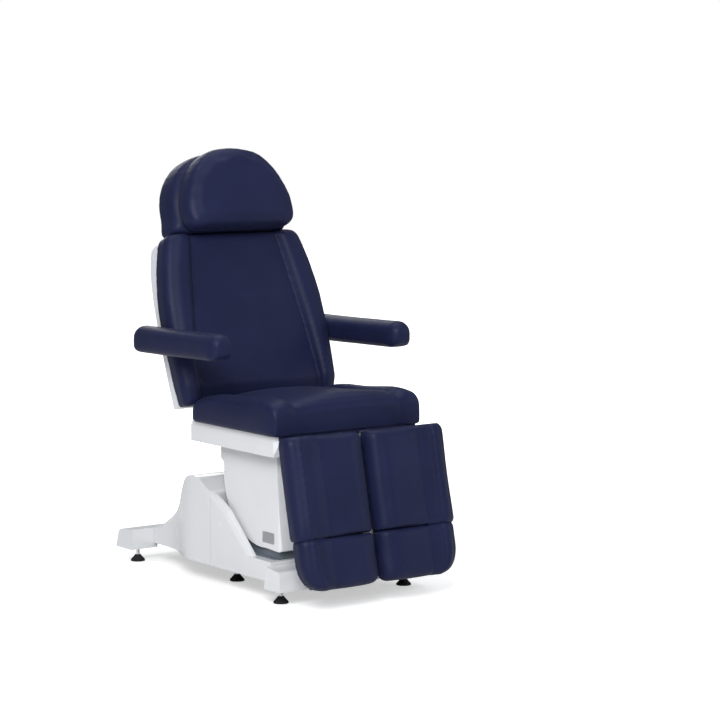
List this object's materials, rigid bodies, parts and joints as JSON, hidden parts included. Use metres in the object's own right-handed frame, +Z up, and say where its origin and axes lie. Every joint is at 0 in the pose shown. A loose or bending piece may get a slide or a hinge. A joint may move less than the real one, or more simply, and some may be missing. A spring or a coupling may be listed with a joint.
{
  "type": "podiatry treatment chair",
  "caption": "Podiatry treatment chair with a padded tilting seat, reclining back and headrest, swing-up armrests and split leg rests on a telescopic lift column.",
  "frame": {"origin": "on the floor, under the middle of the chair's overall width and length as it stands upright", "axes": "+Z up, the chair faces -Y with its leg rests in front, +X to the side that is on the right in the picture"},
  "size_m": [0.812, 1.2018, 1.4534],
  "materials": {
    "frame_steel": "satin",
    "tube_steel": "satin",
    "chrome_steel": "polished",
    "glide_plastic": "matte",
    "motor_plastic": "matte",
    "box_plastic": "matte",
    "cover_plastic": "gloss",
    "sleeve_plastic": "satin",
    "rubber": "matte",
    "inlet_plastic": "matte",
    "plywood": "matte",
    "upholstery": "satin"
  },
  "bodies": {
    "base": {"front_crossbar": "frame_steel", "rear_crossbar": "frame_steel", "side_rails": "frame_steel", "column_plate": "frame_steel", "column_tube": "tube_steel", "lower_glides": "glide_plastic", "lift_actuator": "motor_plastic", "control_box": "box_plastic", "base_cover": "cover_plastic", "rear_cover": "cover_plastic", "front_beam_cover": "cover_plastic", "rear_beam_cover": "cover_plastic", "foot_pads": "rubber", "foot_studs": "chrome_steel", "mains_inlet": "inlet_plastic", "inner_cover": "sleeve_plastic"},
    "lift_mid": {"middle_tube": "tube_steel", "upper_glides": "glide_plastic"},
    "lift_top": {"inner_tube": "tube_steel", "lift_rod": "chrome_steel", "seat_carrier": "frame_steel", "column_cover": "cover_plastic", "tilt_pins": "chrome_steel", "tilt_actuator": "motor_plastic"},
    "tilt_rod": {"tilt_rod": "chrome_steel"},
    "seat": {"seat_frame": "frame_steel", "seat_board": "plywood", "seat_cushion": "upholstery", "seat_skirt": "cover_plastic", "tilt_link_pin": "chrome_steel", "back_shaft": "chrome_steel", "back_actuator": "motor_plastic", "leg_hinge_pins": "chrome_steel"},
    "back_rod": {"back_rod": "chrome_steel"},
    "back": {"back_frame": "frame_steel", "back_board": "plywood", "back_cushion": "upholstery", "back_shell": "cover_plastic", "head_pin": "chrome_steel"},
    "head": {"head_frame": "frame_steel", "head_cushion": "upholstery", "head_pillow": "upholstery"},
    "arm_left": {"arm_core_left": "frame_steel", "arm_pad_left": "upholstery"},
    "arm_right": {"arm_core_right": "frame_steel", "arm_pad_right": "upholstery"},
    "leg_left": {"leg_frame_left": "frame_steel", "leg_shell_left": "cover_plastic", "leg_cushion_left": "upholstery"},
    "leg_right": {"leg_frame_right": "frame_steel", "leg_shell_right": "cover_plastic", "leg_cushion_right": "upholstery"},
    "foot_left": {"foot_slide_left": "tube_steel", "foot_cushion_left": "upholstery"},
    "foot_right": {"foot_slide_right": "tube_steel", "foot_cushion_right": "upholstery"}
  },
  "joints": [
    {"name": "lift_lower", "type": "slide", "parent": "base", "child": "lift_mid", "axis": [0, 0, 1], "range_m": [0, 0.125]},
    {"name": "lift_upper", "type": "slide", "parent": "lift_mid", "child": "lift_top", "axis": [0, 0, 1], "range_m": [0, 0.125]},
    {"name": "seat_tilt", "type": "hinge", "parent": "lift_top", "child": "seat", "pos_m": [0, 0.09093, 0.5], "axis": [-1, 0, 0], "range_deg": [0, 12]},
    {"name": "tilt_rod_slide", "type": "slide", "parent": "lift_top", "child": "tilt_rod", "axis": [0, 0, 1], "range_m": [0, 0.07626]},
    {"name": "back_recline", "type": "hinge", "parent": "seat", "child": "back", "pos_m": [0, 0.12593, 0.56], "axis": [-1, 0, 0], "range_deg": [0, 71.3]},
    {"name": "back_rod_slide", "type": "slide", "parent": "seat", "child": "back_rod", "axis": [0, -1, 0], "range_m": [0, 0.08627]},
    {"name": "head_tilt", "type": "hinge", "parent": "back", "child": "head", "pos_m": [0, 0.40234, 1.13013], "axis": [-1, 0, 0], "range_deg": [0, 30]},
    {"name": "arm_left_swing", "type": "hinge", "parent": "back", "child": "arm_left", "pos_m": [-0.324, 0.28508, 0.818], "axis": [-1, 0, 0], "range_deg": [0, 100]},
    {"name": "arm_right_swing", "type": "hinge", "parent": "back", "child": "arm_right", "pos_m": [0.324, 0.28508, 0.818], "axis": [-1, 0, 0], "range_deg": [0, 100]},
    {"name": "leg_left_lift", "type": "hinge", "parent": "seat", "child": "leg_left", "pos_m": [-0.159, -0.40607, 0.535], "axis": [-1, 0, 0], "range_deg": [0, 77.5]},
    {"name": "leg_right_lift", "type": "hinge", "parent": "seat", "child": "leg_right", "pos_m": [0.159, -0.40607, 0.535], "axis": [-1, 0, 0], "range_deg": [0, 77.5]},
    {"name": "foot_left_slide", "type": "slide", "parent": "leg_left", "child": "foot_left", "axis": [0, -0.2164, -0.9763], "range_m": [0, 0.14]},
    {"name": "foot_right_slide", "type": "slide", "parent": "leg_right", "child": "foot_right", "axis": [0, -0.2164, -0.9763], "range_m": [0, 0.14]}
  ],
  "couplings": [
    {"joint": "lift_upper", "follows": "lift_lower", "ratio": 1},
    {"joint": "tilt_rod_slide", "follows": "seat_tilt", "m_per_rad": 0.36317},
    {"joint": "back_rod_slide", "follows": "back_recline", "m_per_rad": 0.06916}
  ]
}
